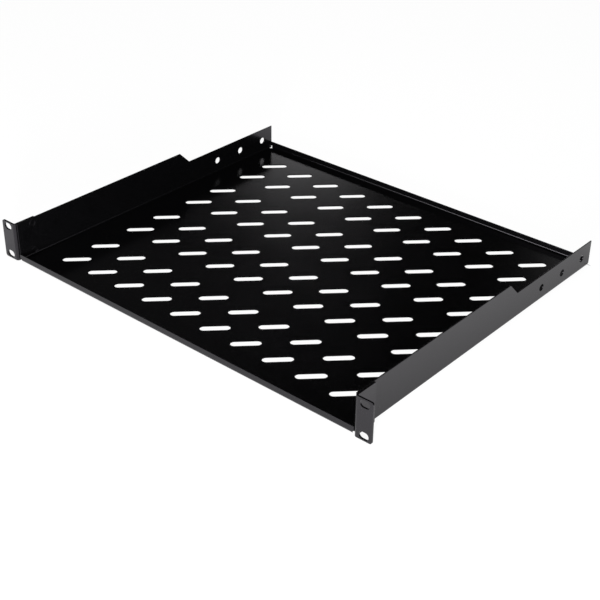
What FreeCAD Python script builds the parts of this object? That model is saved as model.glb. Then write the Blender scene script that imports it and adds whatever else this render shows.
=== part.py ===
# A 1U cantilever shelf for a 19 inch rack, in folded sheet steel.
#
# Frame: X across the rack, +Y to the rear, +Z up, in millimetres.
# The origin is the middle of the shelf's footprint, on its underside.
#
# Nodes: tray, left_ear_bracket, right_ear_bracket.

import FreeCAD, Part
import math
import os

from FreeCAD import Vector

# ---- Rack standard ----
RACK_PANEL_WIDTH = 482.6        # over both ears
RACK_HOLE_MARGIN = 8.75         # from the middle of a hole row to the outer edge of the ear
RACK_HOLE_SPACING = 31.75       # between the two holes of one rack unit that the ears use

# ---- Ear brackets ----
EAR_REACH = 19.3                # from the side wall to the outer edge of the ear
EAR_THICKNESS = 2.0
EAR_LIFT = 0.6                  # from the tray's underside to the foot of the ear
EAR_END_MARGIN = 5.125          # from the middle of a hole to the upper or lower edge of the ear
EAR_BEND_INNER_RADIUS = 1.0
EAR_CORNER_RADIUS = 2.5
EAR_SLOT_LENGTH = 10.5
EAR_SLOT_WIDTH = 7.3
LEG_LENGTH = 26.5               # from the face of the ear to the end of the leg
LEG_CORNER_RADIUS = 1.0

# ---- Tray ----
OVERALL_DEPTH = 390.0           # from the face of the ears to the rear edge
SHEET = 1.2                     # thickness of the tray's sheet
BEND_INNER_RADIUS = 1.8
WALL_ABOVE_EAR = 0.2            # from the top of the ear to the top of the wall's tall front run
STEP_DROP = 14.1                # from the tall front run of the wall to its low rear run
STEP_ANGLE = 45.0               # slope of the step, in degrees
TALL_WALL_LENGTH = 234.6        # from the face of the ears to the top of the step
LIP_HEIGHT = 8.0                # front and rear lips, from the underside
CORNER_GAP = 0.2                # between a lip and the wall or side fold beside it
RELIEF_RADIUS = 1.6             # round relief where two bend lines meet
WALL_CORNER_CUT = 2.6           # slant on the foot of each end of a wall

# ---- Vents in the floor ----
VENT_LENGTH = 29.6              # over the round ends
VENT_WIDTH = 8.3
VENT_ANGLE = 45.0               # from +X towards +Y, in degrees
VENT_END_FLATS = 12             # flats in each round end, few because there are so many ends
VENT_COLUMN_PITCH = 39.9
VENT_PAIR_PITCH = 89.15         # from one pair of rows to the next
VENT_PAIR_GAP = 39.1            # between the two rows of a pair
VENT_SIDE_MARGIN = 36.0         # least distance from a column to the side bends
VENT_END_MARGIN = 30.0          # least distance from a row to the lip bends

# ---- Holes in the rear run of each wall ----
WALL_HOLE_DIAMETER = 7.5
WALL_HOLE_COUNT = 3
WALL_HOLE_PITCH = 39.0
WALL_HOLE_REAR_MARGIN = 17.0    # from the last hole to the rear edge

# ---- Spot welds between wall and leg ----
WELD_DIAMETER = 6.8             # at the surface
WELD_FLOOR_DIAMETER = 4.6
WELD_DEPTH = 0.25
WELD_REAR_MARGIN = 4.5          # from the weld's centre to the end of the leg
WELD_EDGE_MARGIN = 5.6          # from the weld's centre to the leg's upper or lower edge

# ---- Sizes that follow from those above ----
RACK_HOLE_SPAN = RACK_PANEL_WIDTH - 2 * RACK_HOLE_MARGIN
EAR_HEIGHT = RACK_HOLE_SPACING + 2 * EAR_END_MARGIN
EAR_TOP_Z = EAR_LIFT + EAR_HEIGHT
EAR_MIDDLE_Z = EAR_LIFT + EAR_HEIGHT / 2
EAR_BEND_RADIUS = EAR_BEND_INNER_RADIUS + EAR_THICKNESS
EAR_FACE_Y = -OVERALL_DEPTH / 2
LEG_START_Y = EAR_FACE_Y + EAR_BEND_RADIUS
LEG_END_Y = EAR_FACE_Y + LEG_LENGTH
BEND_RADIUS = BEND_INNER_RADIUS + SHEET
HALF_WIDTH = RACK_PANEL_WIDTH / 2 - EAR_REACH
FLOOR_HALF_WIDTH = HALF_WIDTH - BEND_RADIUS
LIP_HALF_WIDTH = HALF_WIDTH - SHEET - CORNER_GAP
FRONT_LIP_Y = EAR_FACE_Y + EAR_THICKNESS
REAR_Y = OVERALL_DEPTH / 2
FLOOR_FRONT_Y = FRONT_LIP_Y + BEND_RADIUS
FLOOR_REAR_Y = REAR_Y - BEND_RADIUS
WALL_HEIGHT = EAR_TOP_Z + WALL_ABOVE_EAR
REAR_WALL_HEIGHT = WALL_HEIGHT - STEP_DROP
STEP_TOP_Y = EAR_FACE_Y + TALL_WALL_LENGTH
STEP_FOOT_Y = STEP_TOP_Y + STEP_DROP / math.tan(math.radians(STEP_ANGLE))

UP = Vector(0, 0, 1)
RIGHT = Vector(1, 0, 0)
REARWARD = Vector(0, 1, 0)
OVERCUT = 1.0                   # how far a cutter runs past the sheet


def block(x_from, x_to, y_from, y_to, z_from, z_to):
    """A box between two corners."""
    corner = Vector(x_from, y_from, z_from)
    return Part.makeBox(x_to - x_from, y_to - y_from, z_to - z_from, corner)


def face_of(points):
    """A flat face round the given corners."""
    return Part.Face(Part.makePolygon(list(points) + [points[0]]))


def quarter_bend(centre, outward, downward, outer_radius, thickness, run):
    """A quarter ring about centre, from the direction outward round to downward, swept along run."""
    inner_radius = outer_radius - thickness
    middle = (outward + downward).normalize()
    outer = Part.Arc(
        centre + outward * outer_radius,
        centre + middle * outer_radius,
        centre + downward * outer_radius,
    )
    inner = Part.Arc(
        centre + downward * inner_radius,
        centre + middle * inner_radius,
        centre + outward * inner_radius,
    )
    sides = [
        Part.LineSegment(outer.EndPoint, inner.StartPoint),
        Part.LineSegment(inner.EndPoint, outer.StartPoint),
    ]
    edges = [outer.toShape(), sides[0].toShape(), inner.toShape(), sides[1].toShape()]
    return Part.Face(Part.Wire(edges)).extrude(run)


def vent_cutter(x, y):
    """A slanted slot through the floor, centred on (x, y)."""
    radius = VENT_WIDTH / 2
    reach = VENT_LENGTH / 2 - radius
    slant = math.radians(VENT_ANGLE)
    points = []
    for end_angle in (slant, slant + math.pi):
        end = Vector(x + reach * math.cos(end_angle), y + reach * math.sin(end_angle), -OVERCUT)
        for number in range(VENT_END_FLATS + 1):
            turn = end_angle + math.pi * (number / VENT_END_FLATS - 1 / 2)
            points.append(end + Vector(math.cos(turn), math.sin(turn), 0) * radius)
    return face_of(points).extrude(UP * (SHEET + 2 * OVERCUT))


def slot_cutter(centre, along, through, length, width, depth):
    """A round-ended slot, centred on centre, that runs along one direction and cuts through another."""
    radius = width / 2
    reach = along * (length / 2 - radius)
    across = through.cross(along) * radius
    start = centre - through * (depth / 2)
    near_cap = Part.Arc(
        start - reach + across,
        start - reach - along * radius,
        start - reach - across,
    )
    far_cap = Part.Arc(
        start + reach - across,
        start + reach + along * radius,
        start + reach + across,
    )
    edges = [
        near_cap.toShape(),
        Part.LineSegment(near_cap.EndPoint, far_cap.StartPoint).toShape(),
        far_cap.toShape(),
        Part.LineSegment(far_cap.EndPoint, near_cap.StartPoint).toShape(),
    ]
    return Part.Face(Part.Wire(edges)).extrude(through * depth)


def side_wall(side):
    """One upright wall with its step and its row of holes. side is 1 on the right, -1 on the left."""
    inner_x = side * (HALF_WIDTH - SHEET)
    outline = [
        Vector(inner_x, LEG_START_Y, BEND_RADIUS),
        Vector(inner_x, REAR_Y, BEND_RADIUS),
        Vector(inner_x, REAR_Y, REAR_WALL_HEIGHT),
        Vector(inner_x, STEP_FOOT_Y, REAR_WALL_HEIGHT),
        Vector(inner_x, STEP_TOP_Y, WALL_HEIGHT),
        Vector(inner_x, LEG_START_Y, WALL_HEIGHT),
    ]
    wall = face_of(outline).extrude(RIGHT * side * SHEET)
    holes = [wall_hole(side, number) for number in range(WALL_HOLE_COUNT)]
    return wall.cut(holes)


def wall_hole(side, number):
    """A cutter for one round hole in the rear run of a wall, counted from the rear."""
    start = Vector(
        side * (HALF_WIDTH - SHEET - OVERCUT),
        REAR_Y - WALL_HOLE_REAR_MARGIN - number * WALL_HOLE_PITCH,
        REAR_WALL_HEIGHT / 2,
    )
    return Part.makeCylinder(WALL_HOLE_DIAMETER / 2, SHEET + 2 * OVERCUT, start, RIGHT * side)


def side_bend(side):
    """The fold between the floor and one wall, as long as the wall."""
    centre = Vector(side * FLOOR_HALF_WIDTH, LEG_START_Y, BEND_RADIUS)
    run = REARWARD * (REAR_Y - LEG_START_Y)
    return quarter_bend(centre, RIGHT * side, -UP, BEND_RADIUS, SHEET, run)


def lip(floor_edge_y, outward):
    """A low lip between the walls, with its fold. outward is 1 at the rear and -1 at the front."""
    fold_half_width = FLOOR_HALF_WIDTH - CORNER_GAP
    centre = Vector(-fold_half_width, floor_edge_y, BEND_RADIUS)
    fold = quarter_bend(
        centre, REARWARD * outward, -UP, BEND_RADIUS, SHEET, RIGHT * 2 * fold_half_width
    )
    outer_y = floor_edge_y + outward * BEND_RADIUS
    inner_y = outer_y - outward * SHEET
    strip = block(
        -LIP_HALF_WIDTH, LIP_HALF_WIDTH,
        min(inner_y, outer_y), max(inner_y, outer_y),
        BEND_RADIUS, LIP_HEIGHT,
    )
    return [fold, strip]


def relief_cutter(side, floor_edge_y):
    """The round relief hole where two bend lines meet."""
    foot = Vector(side * FLOOR_HALF_WIDTH, floor_edge_y, -OVERCUT)
    return Part.makeCylinder(RELIEF_RADIUS, SHEET + 2 * OVERCUT, foot, UP)


def wall_corner_cutter(side, end_y, outward):
    """A slant on the foot of one end of a wall. outward is 1 at the rear and -1 at the front."""
    x = side * FLOOR_HALF_WIDTH
    reach = WALL_CORNER_CUT + OVERCUT
    corner = face_of([
        Vector(x, end_y + outward * OVERCUT, reach),
        Vector(x, end_y + outward * OVERCUT, -OVERCUT),
        Vector(x, end_y - outward * reach, -OVERCUT),
    ])
    return corner.extrude(RIGHT * side * (BEND_RADIUS + OVERCUT))


def evenly_spaced(room, pitch):
    """As many places at this pitch as fit in the room, centred on zero."""
    count = 1 + int(math.floor(room / pitch))
    return [(number - (count - 1) / 2) * pitch for number in range(count)]


def vent_cutters():
    """Slanted slots on a grid, in pairs of rows, centred on the floor."""
    middle_y = (FLOOR_FRONT_Y + FLOOR_REAR_Y) / 2
    row_room = FLOOR_REAR_Y - FLOOR_FRONT_Y - 2 * VENT_END_MARGIN - VENT_PAIR_GAP
    column_room = 2 * (FLOOR_HALF_WIDTH - VENT_SIDE_MARGIN)
    cutters = []
    for pair_y in evenly_spaced(row_room, VENT_PAIR_PITCH):
        for row_y in (pair_y - VENT_PAIR_GAP / 2, pair_y + VENT_PAIR_GAP / 2):
            for column_x in evenly_spaced(column_room, VENT_COLUMN_PITCH):
                cutters.append(vent_cutter(column_x, middle_y + row_y))
    return cutters


def weld_dents(side):
    """Cutters for the shallow marks that the spot welds leave on the inside of one wall."""
    dents = []
    for z in (EAR_LIFT + WELD_EDGE_MARGIN, EAR_TOP_Z - WELD_EDGE_MARGIN):
        centre = Vector(side * (HALF_WIDTH - SHEET), LEG_END_Y - WELD_REAR_MARGIN, z)
        dents.append(
            Part.makeCone(
                WELD_DIAMETER / 2, WELD_FLOOR_DIAMETER / 2, WELD_DEPTH, centre, RIGHT * side
            )
        )
    return dents


def tray():
    """The folded sheet: floor, two walls, two lips, reliefs and vents."""
    floor = block(
        -FLOOR_HALF_WIDTH, FLOOR_HALF_WIDTH, FLOOR_FRONT_Y, FLOOR_REAR_Y, 0, SHEET
    )
    pieces = lip(FLOOR_FRONT_Y, -1) + lip(FLOOR_REAR_Y, 1)
    cutters = vent_cutters()
    for side in (-1, 1):
        pieces += [side_bend(side), side_wall(side)]
        cutters += weld_dents(side)
        cutters += [relief_cutter(side, FLOOR_FRONT_Y), relief_cutter(side, FLOOR_REAR_Y)]
        cutters += [wall_corner_cutter(side, LEG_START_Y, -1), wall_corner_cutter(side, REAR_Y, 1)]
    return floor.fuse(pieces).removeSplitter().cut(cutters)


def rounded_plate(width, height, radii, thickness):
    """A plate in the X-Z plane from the origin to (width, thickness, height).

    radii are the corner radii at (0, 0), (width, 0), (width, height) and (0, height), in that order.
    """
    plate = block(0, width, 0, thickness, 0, height)
    corners = [(0, 0), (width, 0), (width, height), (0, height)]
    for (x, z), radius in zip(corners, radii):
        if radius > 0:
            edge = next(
                edge for edge in plate.Edges
                if edge.BoundBox.YLength > thickness / 2
                and abs(edge.BoundBox.XMin - x) < radius / 2
                and abs(edge.BoundBox.ZMin - z) < radius / 2
            )
            plate = plate.makeFillet(radius, [edge])
    return plate


def right_ear_bracket():
    """An L of thicker sheet: a leg against the wall, and an ear turned outward across the rack rail."""
    ear_inner_x = HALF_WIDTH + EAR_BEND_RADIUS
    ear_width = RACK_PANEL_WIDTH / 2 - ear_inner_x
    ear = rounded_plate(
        ear_width, EAR_HEIGHT, (0, EAR_CORNER_RADIUS, EAR_CORNER_RADIUS, 0), EAR_THICKNESS
    )
    ear.translate(Vector(ear_inner_x, EAR_FACE_Y, EAR_LIFT))
    leg = rounded_plate(
        LEG_END_Y - LEG_START_Y, EAR_HEIGHT, (0, LEG_CORNER_RADIUS, LEG_CORNER_RADIUS, 0), EAR_THICKNESS
    )
    leg.rotate(Vector(0, 0, 0), UP, 90)
    leg.translate(Vector(HALF_WIDTH + EAR_THICKNESS, LEG_START_Y, EAR_LIFT))
    centre = Vector(ear_inner_x, LEG_START_Y, EAR_LIFT)
    fold = quarter_bend(centre, -RIGHT, -REARWARD, EAR_BEND_RADIUS, EAR_THICKNESS, UP * EAR_HEIGHT)
    slots = [
        slot_cutter(
            Vector(RACK_HOLE_SPAN / 2, EAR_FACE_Y + EAR_THICKNESS / 2, EAR_MIDDLE_Z + z),
            RIGHT, REARWARD, EAR_SLOT_LENGTH, EAR_SLOT_WIDTH, EAR_THICKNESS + 2 * OVERCUT,
        )
        for z in (-RACK_HOLE_SPACING / 2, RACK_HOLE_SPACING / 2)
    ]
    return fold.fuse([ear, leg]).removeSplitter().cut(slots)


def save(name, shape):
    """Write one piece as a single clean solid."""
    solid = shape.Solids[0]
    if len(shape.Solids) != 1 or not solid.isValid():
        raise ValueError(name + " is not one valid solid")
    solid.exportStep("parts/" + name + ".step")


os.makedirs("parts", exist_ok=True)
right_bracket = right_ear_bracket()
save("tray", tray())
save("right_ear_bracket", right_bracket)
save("left_ear_bracket", right_bracket.mirror(Vector(0, 0, 0), RIGHT))
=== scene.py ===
# The looks of the rack shelf: fine powder coat on softly edged sheet steel, on a white floor.
import math

import bmesh
import bpy
from mathutils import Matrix, Vector


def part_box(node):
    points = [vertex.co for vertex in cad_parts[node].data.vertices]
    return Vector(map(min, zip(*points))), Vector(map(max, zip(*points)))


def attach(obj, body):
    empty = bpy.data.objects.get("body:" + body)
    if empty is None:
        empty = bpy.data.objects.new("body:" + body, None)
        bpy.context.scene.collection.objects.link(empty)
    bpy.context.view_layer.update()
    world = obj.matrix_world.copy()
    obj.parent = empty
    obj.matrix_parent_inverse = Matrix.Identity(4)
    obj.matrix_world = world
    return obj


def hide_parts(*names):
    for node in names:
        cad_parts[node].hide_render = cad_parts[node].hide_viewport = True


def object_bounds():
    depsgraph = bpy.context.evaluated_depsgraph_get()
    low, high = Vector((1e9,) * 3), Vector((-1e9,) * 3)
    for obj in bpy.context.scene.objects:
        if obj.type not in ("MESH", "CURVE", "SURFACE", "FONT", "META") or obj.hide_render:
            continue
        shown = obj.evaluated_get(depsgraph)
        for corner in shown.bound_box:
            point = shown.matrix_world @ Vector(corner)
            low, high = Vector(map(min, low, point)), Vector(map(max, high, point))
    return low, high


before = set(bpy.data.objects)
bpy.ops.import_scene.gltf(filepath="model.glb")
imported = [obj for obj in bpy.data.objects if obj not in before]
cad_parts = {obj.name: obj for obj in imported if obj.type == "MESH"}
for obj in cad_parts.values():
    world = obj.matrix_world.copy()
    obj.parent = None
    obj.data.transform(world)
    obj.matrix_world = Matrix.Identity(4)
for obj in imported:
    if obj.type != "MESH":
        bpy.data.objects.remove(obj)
cad_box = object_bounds()

MM = 0.001

# ---- Sheet edges ----
EDGE_RADIUS = 0.22 * MM         # the coat rounds every cut edge
EDGE_SEGMENTS = 2
EDGE_ANGLE = 35.0               # sharper corners than this are cut edges, in degrees
MERGE_DISTANCE = 0.002 * MM     # corners of the CAD mesh nearer than this are one
FLAT_ANGLE = 1.0                # faces that turn less than this are one flat face, in degrees
FLAT_FACE_WEIGHT = 50           # how far large faces rule the shading

# ---- Weld rims: low rings on the inside of the walls, round the dents of the spot welds ----
SHEET = 1.2 * MM                # thickness of the tray's sheet
WELD_RADIUS = 3.5 * MM          # to the middle of the rim
WELD_RIM = 1.1 * MM             # width of the rim
WELD_HEIGHT = 0.5 * MM
WELD_STEPS = 40                 # round the ring
WELD_REAR_MARGIN = 4.5 * MM     # from the middle of a mark to the end of the ear's leg
WELD_EDGE_MARGIN = 5.6 * MM     # from the middle of a mark to the leg's upper or lower edge
# The rim's section: outward in half widths of the rim, then up from the wall in heights of the rim.
WELD_PROFILE = [(-1.0, -0.4), (-0.8, 0.5), (-0.2, 1.0), (0.4, 0.8), (1.0, -0.4)]

# ---- Powder coat ----
COAT_COLOUR = (0.0008, 0.0008, 0.0009)
EDGE_COLOUR = (0.0025, 0.0025, 0.0026)      # on the cut edges, where the coat is thinner
SHINE_TINT = (0.95, 0.90, 1.0, 1.0)         # of what the coat reflects
SPECK_SIZE = 0.9 * MM
PEEL_SIZE = 3.2 * MM            # orange peel
CLOUD_SIZE = 55 * MM            # slow changes in gloss
# Between which two values of their noise the colour, the slow changes and the dull specks set in.
COLOUR_RANGE, CLOUD_RANGE, SPECK_RANGE = (0.35, 0.65), (0.3, 0.7), (0.56, 0.68)
DARK_SHARE, PALE_SHARE = 0.6, 1.5       # how dark and pale it gets, as shares of the base colour
CLOUD_ROUGHNESS = (-0.01, 0.015)        # the slow changes, added to the base roughness
SPECK_ROUGHNESS = 0.04          # added in the dull specks
PEEL_DEPTH = 0.006 * MM
SPECK_DEPTH = 0.003 * MM

# ---- Camera ----
TARGET = Vector((0.045197, -0.058478, 0.0))     # the point that it looks at
HEADING = 40.496                # from the shelf's front towards its right side, in degrees
ELEVATION = 31.137              # in degrees
DISTANCE = 1.21103
ROLL = 0.741                    # in degrees
LENS = 73.711
SENSOR = 36.0

# ---- Floor ----
WHITE = (1.0, 1.0, 1.0, 1.0)
FLOOR_COLOUR = (0.9, 0.9, 0.9, 1.0)
FLOOR_SIZE = 12.0
FLOOR_GAP = 0.1 * MM
FLOOR_TONE = 0.93               # the share that shows plain white; the rest takes the shadow

# ---- Painted shade on the floor that the coat reflects: dark under the shelf, weak and pale beside it ----
SHADE_SOFTNESS = 12 * MM        # fade at the edge of the dark part
SHADE_REACH = 46 * MM           # the weak part ends this far out
# For each side of the shelf: the floor's axis, the way along it, and the share of the light
# that the painted shade leaves close beside the shelf.
SHADE_SIDES = [("X", 1, 0.66), ("X", -1, 0.66), ("Y", 1, 0.66), ("Y", -1, 0.88)]

# ---- Room that the coat reflects ----
ROOM_LEVEL = 0.0032             # where nothing shines

# Soft lights that show in the gloss: azimuth from +Y towards +X and elevation in degrees,
# the radius of the bright core and of its outer edge in degrees, and the level.
GLOWS = [
    (-40.4, 20.4, 1.7, 4.4, 1.95),      # low behind the left side: the glow in the rear left corner
    (-58.0, 36.0, 4.0, 17.0, 0.045),    # its wide faint halo
    (-15.5, 26.0, 7.5, 11.5, 0.66),     # behind the right side: the rear right corner
    (82.0, 26.0, 22.0, 27.0, 0.42),     # broad, on the right: the line in the left wall's fold
    (-148.0, 3.0, 9.0, 15.0, 1.6),      # low in front on the left: the line in the rear lip's fold
    (-161.0, 3.0, 7.0, 11.0, 7.0),      # the right end of the same line
    (-159.5, 27.0, 4.0, 9.0, 2.0),      # in front on the left, twice mirrored at the rear lip
]

# A pale band low round the right and front sides, which draws thin lines inside the folds.
BAND_AZIMUTH = 139.0            # its middle
BAND_CORE, BAND_END = 76.0, 85.0    # full level to this far from the middle, and none past this far
BAND_TOP, BAND_FADE = 10.0, 22.0    # full level up to this elevation, and none above this one
BAND_LEVEL = 1.2

# ---- Lamps: name, place, point that it faces, size and power ----
LAMPS = [
    ("overhead_lamp", (0.0, -0.2, 2.2), (0, 0, 0), 1.6, 48.0),
    ("side_lamp", (1.7, -1.2, 1.4), (0, 0, 0), 1.2, 10.0),
    # low in front on the right: lifts the inside of the left wall and leaves the tray's floor dark
    ("low_lamp", (0.60, -0.90, 0.13), (-0.22, -0.10, 0.02), 0.2, 44.0),
]


scene = bpy.context.scene
scene.view_settings.view_transform = "Standard"


# ---- Node helpers ----
def add_node(tree, kind, inputs=None, **settings):
    """A node with its settings and its input values. An input value that is a socket is linked."""
    node = tree.nodes.new(kind)
    for name, value in settings.items():
        setattr(node, name, value)
    for name, value in (inputs or {}).items():
        if isinstance(value, bpy.types.NodeSocket):
            tree.links.new(value, node.inputs[name])
        else:
            node.inputs[name].default_value = value
    return node


def new_tree(owner):
    """The empty node tree of a material or world."""
    owner.use_nodes = True
    owner.node_tree.nodes.clear()
    return owner.node_tree


def maths(tree, operation, *values):
    """The result of a sum on values or sockets."""
    return add_node(tree, "ShaderNodeMath", dict(enumerate(values)), operation=operation).outputs[0]


def ramp(tree, value, low, high, to_low, to_high, smooth=True):
    """Map a value from the range low..high to to_low..to_high."""
    node = add_node(
        tree, "ShaderNodeMapRange",
        {0: value, 1: low, 2: high, 3: to_low, 4: to_high},
        interpolation_type="SMOOTHSTEP" if smooth else "LINEAR",
    )
    return node.outputs[0]


def noise(tree, place, size, detail, roughness):
    """Noise with spots of about one size."""
    return add_node(
        tree, "ShaderNodeTexNoise",
        {"Vector": place, "Scale": 1.0 / size, "Detail": detail, "Roughness": roughness},
    ).outputs["Fac"]


def bump(tree, height, distance, **below):
    """The normals of a fine relief, over those of a coarser one if given."""
    return add_node(
        tree, "ShaderNodeBump",
        {"Strength": 1.0, "Distance": distance, "Height": height, **below},
    ).outputs["Normal"]


def powder_coat(name, base, roughness, grain, ior):
    """Smooth satin powder coat: faint orange peel, fine dull specks and slow changes in gloss."""
    material = bpy.data.materials.new(name)
    tree = new_tree(material)
    place = add_node(tree, "ShaderNodeTexCoord").outputs["Object"]
    fine = noise(tree, place, SPECK_SIZE, detail=2.0, roughness=0.55)
    peel = noise(tree, place, PEEL_SIZE, detail=2.0, roughness=0.5)
    cloud = noise(tree, place, CLOUD_SIZE, detail=3.0, roughness=0.6)
    tint = add_node(tree, "ShaderNodeMix", data_type="RGBA")
    share, dark, pale = tint.inputs[0], tint.inputs[6], tint.inputs[7]
    tree.links.new(ramp(tree, fine, *COLOUR_RANGE, 0.0, 1.0), share)
    dark.default_value = (*[DARK_SHARE * c for c in base], 1.0)
    pale.default_value = (*[PALE_SHARE * c for c in base], 1.0)
    smoothest, roughest = (roughness + change for change in CLOUD_ROUGHNESS)
    slow = ramp(tree, cloud, *CLOUD_RANGE, smoothest, roughest)
    specks = ramp(tree, fine, *SPECK_RANGE, 0.0, SPECK_ROUGHNESS)
    peel_bump = bump(tree, peel, grain * PEEL_DEPTH)
    shader = add_node(
        tree, "ShaderNodeBsdfPrincipled",
        {
            "Base Color": tint.outputs[2],
            "Roughness": maths(tree, "ADD", slow, specks),
            "IOR": ior,
            "Specular Tint": SHINE_TINT,
            "Normal": bump(tree, fine, grain * SPECK_DEPTH, Normal=peel_bump),
        },
    )
    add_node(tree, "ShaderNodeOutputMaterial", {0: shader.outputs[0]})
    return material


coat = powder_coat(
    "satin_black_coat", COAT_COLOUR, roughness=0.16, grain=1.0, ior=1.5
)
ear_coat = powder_coat(
    "satin_black_coat_on_ears", COAT_COLOUR, roughness=0.17, grain=1.0, ior=1.54
)
edge_coat = powder_coat(
    "satin_black_coat_on_edges", EDGE_COLOUR, roughness=0.20, grain=0.5, ior=1.5
)


# ---- Pieces ----
def add_object(name, data):
    """A new object in the scene."""
    thing = bpy.data.objects.new(name, data)
    scene.collection.objects.link(thing)
    return thing


def sheet_piece(node, name, material):
    """A copy of a CAD node with flat faces made whole and every cut edge rounded."""
    mesh = bpy.data.meshes.new(name)
    shape = bmesh.new()
    shape.from_mesh(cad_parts[node].data)
    bmesh.ops.remove_doubles(shape, verts=shape.verts, dist=MERGE_DISTANCE)
    bmesh.ops.dissolve_limit(
        shape, angle_limit=math.radians(FLAT_ANGLE), verts=shape.verts, edges=shape.edges,
        delimit=set(),
    )
    for face in shape.faces:
        face.smooth = True
        face.material_index = 0
    shape.to_mesh(mesh)
    shape.free()
    if mesh.has_custom_normals:
        mesh.attributes.remove(mesh.attributes["custom_normal"])
    piece = add_object(name, mesh)
    mesh.materials.append(material)
    mesh.materials.append(edge_coat)
    edge = piece.modifiers.new("edges", "BEVEL")
    edge.width = EDGE_RADIUS
    edge.segments = EDGE_SEGMENTS
    edge.limit_method = "ANGLE"
    edge.angle_limit = math.radians(EDGE_ANGLE)
    edge.use_clamp_overlap = False
    edge.material = 1
    weighted = piece.modifiers.new("normals", "WEIGHTED_NORMAL")
    weighted.mode = "FACE_AREA"
    weighted.weight = FLAT_FACE_WEIGHT
    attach(piece, "root")
    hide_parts(node)


sheet_piece("tray", "tray_sheet", coat)
sheet_piece("left_ear_bracket", "left_ear_sheet", ear_coat)
sheet_piece("right_ear_bracket", "right_ear_sheet", ear_coat)


def weld_rim(name, side, place):
    """A low rounded rim round a spot weld's dent, inside the left wall (side -1) or the right (1)."""
    mesh = bpy.data.meshes.new(name)
    shape = bmesh.new()
    rings = []
    for across, rise in WELD_PROFILE:
        radius = WELD_RADIUS + across * WELD_RIM / 2
        rings.append([
            shape.verts.new(place + Vector((
                -side * rise * WELD_HEIGHT, radius * math.cos(turn), radius * math.sin(turn),
            )))
            for turn in (2 * math.pi * step / WELD_STEPS for step in range(WELD_STEPS))
        ])
    for inner, outer in zip(rings, rings[1:] + rings[:1]):
        for step in range(WELD_STEPS):
            after = (step + 1) % WELD_STEPS
            shape.faces.new((inner[step], outer[step], outer[after], inner[after]))
    bmesh.ops.recalc_face_normals(shape, faces=shape.faces)
    for face in shape.faces:
        face.smooth = True
    shape.to_mesh(mesh)
    shape.free()
    mesh.materials.append(coat)
    piece = add_object(name, mesh)
    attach(piece, "root")


wall_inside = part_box("tray")[1].x - SHEET
for side, side_name in ((-1, "left"), (1, "right")):
    leg_low, leg_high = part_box(f"{side_name}_ear_bracket")
    for level_name, level in (
        ("lower", leg_low.z + WELD_EDGE_MARGIN), ("upper", leg_high.z - WELD_EDGE_MARGIN),
    ):
        weld_rim(
            f"{side_name}_{level_name}_weld_rim", side,
            Vector((side * wall_inside, leg_high.y - WELD_REAR_MARGIN, level)),
        )


# ---- Stage ----
def painted_floor_shade(tree):
    """The light of the floor as the coat sees it, with painted shade: none under the shelf, full well
    away from it.
    """
    place = add_node(tree, "ShaderNodeTexCoord").outputs["Object"]
    along = add_node(tree, "ShaderNodeSeparateXYZ", {0: place}).outputs
    tray_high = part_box("tray")[1]
    open_floor = 0.0
    for axis, way, near_tone in SHADE_SIDES:
        reach = way * tray_high["XYZ".index(axis)]
        inner = ramp(tree, along[axis], reach - way * SHADE_SOFTNESS, reach, 0.0, 1.0)
        outer = ramp(
            tree, along[axis], reach, reach + way * SHADE_REACH, near_tone, 1.0, smooth=False
        )
        open_floor = maths(tree, "MAXIMUM", open_floor, maths(tree, "MULTIPLY", inner, outer))
    return open_floor


def white_floor(z):
    """A white floor that keeps a shadow and, in reflections, has painted shade under the shelf."""
    mesh = bpy.data.meshes.new("floor")
    half = FLOOR_SIZE / 2
    corners = [(-half, -half, z), (half, -half, z), (half, half, z), (-half, half, z)]
    mesh.from_pydata(corners, [], [(0, 1, 2, 3)])
    material = bpy.data.materials.new("white_floor")
    tree = new_tree(material)
    rays = add_node(tree, "ShaderNodeLightPath").outputs
    page = maths(tree, "MULTIPLY", rays["Is Camera Ray"], FLOOR_TONE)
    mirrored = maths(tree, "MAXIMUM", rays["Is Glossy Ray"], rays["Is Transmission Ray"])
    share = maths(tree, "MAXIMUM", page, mirrored)
    # In reflections the floor's glow is dimmed by painted shade under and beside the shelf.
    shown = maths(tree, "MAXIMUM", rays["Is Camera Ray"], painted_floor_shade(tree))
    matte = add_node(tree, "ShaderNodeBsdfDiffuse", {"Color": FLOOR_COLOUR}).outputs[0]
    glow = add_node(tree, "ShaderNodeEmission", {"Strength": shown}).outputs[0]
    mix = add_node(tree, "ShaderNodeMixShader", {0: share, 1: matte, 2: glow}).outputs[0]
    add_node(tree, "ShaderNodeOutputMaterial", {0: mix})
    mesh.materials.append(material)
    add_object("floor", mesh)


def sine(degrees):
    """The sine of an angle in degrees."""
    return math.sin(math.radians(degrees))


def cosine(degrees):
    """The cosine of an angle in degrees."""
    return math.cos(math.radians(degrees))


def heading_to_vector(azimuth, elevation):
    """The unit vector at an azimuth from +Y towards +X and an elevation, in degrees."""
    return Vector((
        sine(azimuth) * cosine(elevation), cosine(azimuth) * cosine(elevation), sine(elevation),
    ))


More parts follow.
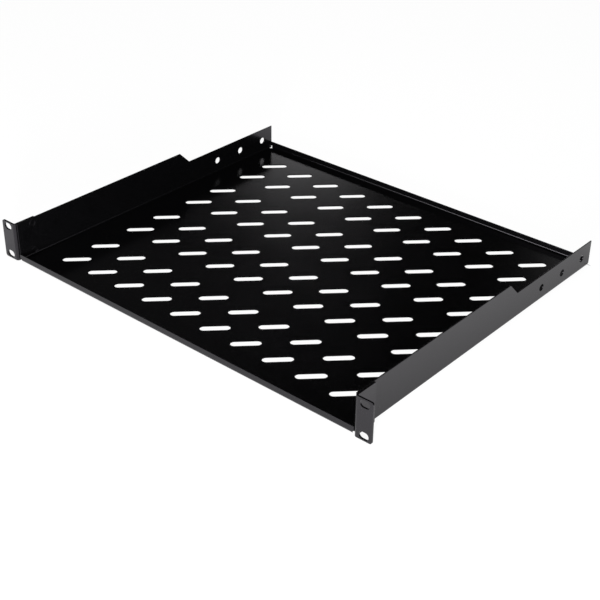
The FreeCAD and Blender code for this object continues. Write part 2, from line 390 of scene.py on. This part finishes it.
def studio_world():
    """White for the camera; for the rest, a dark room with soft lights at a few places."""
    world = bpy.data.worlds.new("studio")
    scene.world = world
    tree = new_tree(world)
    rays = add_node(tree, "ShaderNodeLightPath").outputs
    way = add_node(tree, "ShaderNodeTexCoord").outputs["Generated"]
    height = add_node(tree, "ShaderNodeSeparateXYZ", {0: way}).outputs["Z"]

    def near(azimuth, elevation, core, rim, brightness):
        """The brightness within core degrees of a direction, and none past rim degrees."""
        nearness = add_node(
            tree, "ShaderNodeVectorMath", {0: way, 1: heading_to_vector(azimuth, elevation)},
            operation="DOT_PRODUCT",
        ).outputs["Value"]
        return ramp(tree, nearness, cosine(rim), cosine(core), 0.0, brightness)

    low = ramp(tree, height, sine(BAND_FADE), sine(BAND_TOP), 0.0, 1.0)
    ahead = near(BAND_AZIMUTH, 0, BAND_CORE, BAND_END, BAND_LEVEL)
    level = maths(tree, "MULTIPLY_ADD", low, ahead, ROOM_LEVEL)
    for glow in GLOWS:
        level = maths(tree, "ADD", near(*glow), level)
    room = add_node(tree, "ShaderNodeBackground", {"Color": WHITE, "Strength": level}).outputs[0]
    page = add_node(tree, "ShaderNodeBackground", {"Color": WHITE, "Strength": 1.0}).outputs[0]
    mix = add_node(
        tree, "ShaderNodeMixShader", {0: rays["Is Camera Ray"], 1: room, 2: page}
    ).outputs[0]
    add_node(tree, "ShaderNodeOutputWorld", {0: mix})


def soft_lamp(name, place, aim, size, power):
    """A square lamp that faces a point and doesn't show in the gloss."""
    lamp = bpy.data.lights.new(name, "AREA")
    lamp.size = size
    lamp.energy = power
    thing = add_object(name, lamp)
    thing.location = place
    thing.rotation_euler = (Vector(aim) - Vector(place)).to_track_quat("-Z", "Y").to_euler()
    thing.visible_glossy = False


def place_camera():
    """The camera at the photo's viewing angle."""
    data = bpy.data.cameras.new("camera")
    data.lens = LENS
    data.sensor_width = SENSOR
    camera = add_object("camera", data)
    back = heading_to_vector(180.0 - HEADING, ELEVATION)
    level = (-back).to_track_quat("-Z", "Y").to_matrix()
    turn = level @ Matrix.Rotation(math.radians(ROLL), 3, "Z")
    camera.matrix_world = Matrix.Translation(TARGET + back * DISTANCE) @ turn.to_4x4()
    scene.camera = camera


white_floor(cad_box[0].z - FLOOR_GAP)
studio_world()
for lamp_settings in LAMPS:
    soft_lamp(*lamp_settings)
place_camera()
